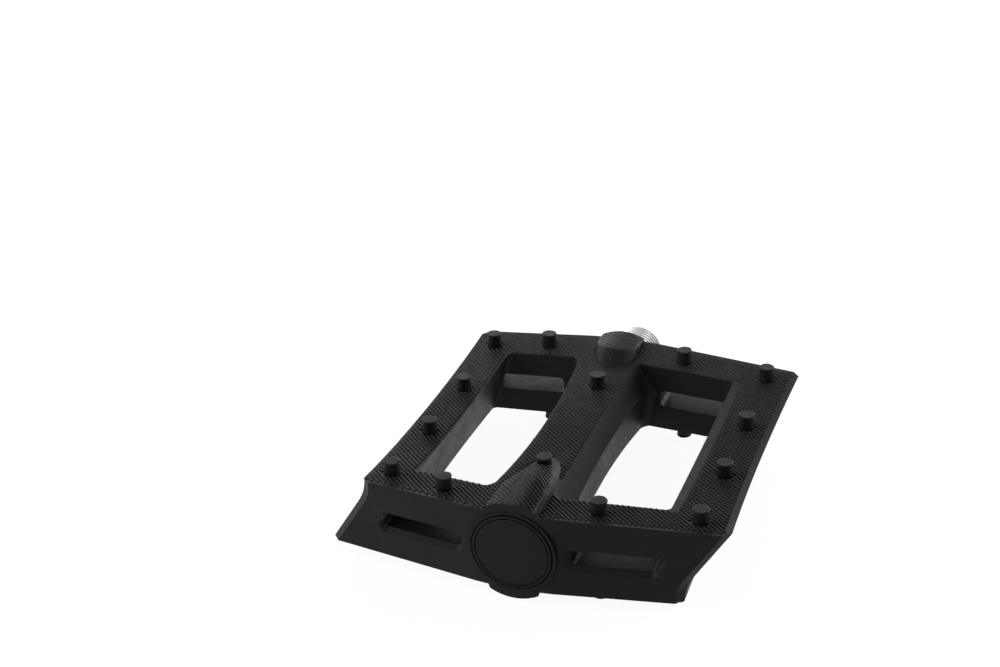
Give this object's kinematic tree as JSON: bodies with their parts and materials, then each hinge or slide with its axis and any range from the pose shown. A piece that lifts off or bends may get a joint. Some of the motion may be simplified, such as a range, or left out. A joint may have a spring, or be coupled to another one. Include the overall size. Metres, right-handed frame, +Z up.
{
  "type": "flat bicycle pedal",
  "caption": "Flat bicycle pedal with a moulded concave platform, cast-in grip pins, two open windows and a threaded steel spindle on loose ball bearings.",
  "frame": {"origin": "on the spindle's axis at its shoulder seat, the face that meets the crank", "axes": "+Y along the spindle towards the crank, the platform is at -Y; +X across the platform, towards the rail that leans outwards at its upper edge; +Z up"},
  "size_m": [0.1112, 0.1209, 0.0292],
  "materials": {
    "platform_nylon": "moulded, finely ridged",
    "cap_nylon": "moulded, fine grain",
    "seal_rubber": "smooth",
    "spindle_steel": "turned and zinc plated",
    "race_steel": "ground",
    "ball_steel": "polished"
  },
  "bodies": {
    "spindle": {"spindle": "spindle_steel", "adjusting_cone": "race_steel", "lock_washer": "spindle_steel", "locknut": "spindle_steel"},
    "platform": {"platform_body": "platform_nylon", "end_cap": "cap_nylon", "inboard_cup": "race_steel", "outboard_cup": "race_steel", "dust_seal": "seal_rubber"},
    "inboard_balls": {"inboard_ball_1": "ball_steel", "inboard_ball_2": "ball_steel", "inboard_ball_3": "ball_steel", "inboard_ball_4": "ball_steel", "inboard_ball_5": "ball_steel", "inboard_ball_6": "ball_steel", "inboard_ball_7": "ball_steel", "inboard_ball_8": "ball_steel", "inboard_ball_9": "ball_steel", "inboard_ball_10": "ball_steel", "inboard_ball_11": "ball_steel", "inboard_ball_12": "ball_steel", "inboard_ball_13": "ball_steel", "inboard_ball_14": "ball_steel"},
    "outboard_balls": {"outboard_ball_1": "ball_steel", "outboard_ball_2": "ball_steel", "outboard_ball_3": "ball_steel", "outboard_ball_4": "ball_steel", "outboard_ball_5": "ball_steel", "outboard_ball_6": "ball_steel", "outboard_ball_7": "ball_steel", "outboard_ball_8": "ball_steel", "outboard_ball_9": "ball_steel", "outboard_ball_10": "ball_steel", "outboard_ball_11": "ball_steel", "outboard_ball_12": "ball_steel"}
  },
  "joints": [
    {"name": "platform_spin", "type": "hinge", "parent": "spindle", "child": "platform", "pos_m": [0, -0.0565, 0], "axis": [0, 1, 0], "continuous": true},
    {"name": "inboard_ball_travel", "type": "hinge", "parent": "spindle", "child": "inboard_balls", "pos_m": [0, -0.0115, 0], "axis": [0, 1, 0], "continuous": true},
    {"name": "outboard_ball_travel", "type": "hinge", "parent": "spindle", "child": "outboard_balls", "pos_m": [0, -0.0991, 0], "axis": [0, 1, 0], "continuous": true}
  ],
  "couplings": [
    {"joint": "inboard_ball_travel", "follows": "platform_spin", "ratio": 0.577},
    {"joint": "outboard_ball_travel", "follows": "platform_spin", "ratio": 0.588}
  ]
}
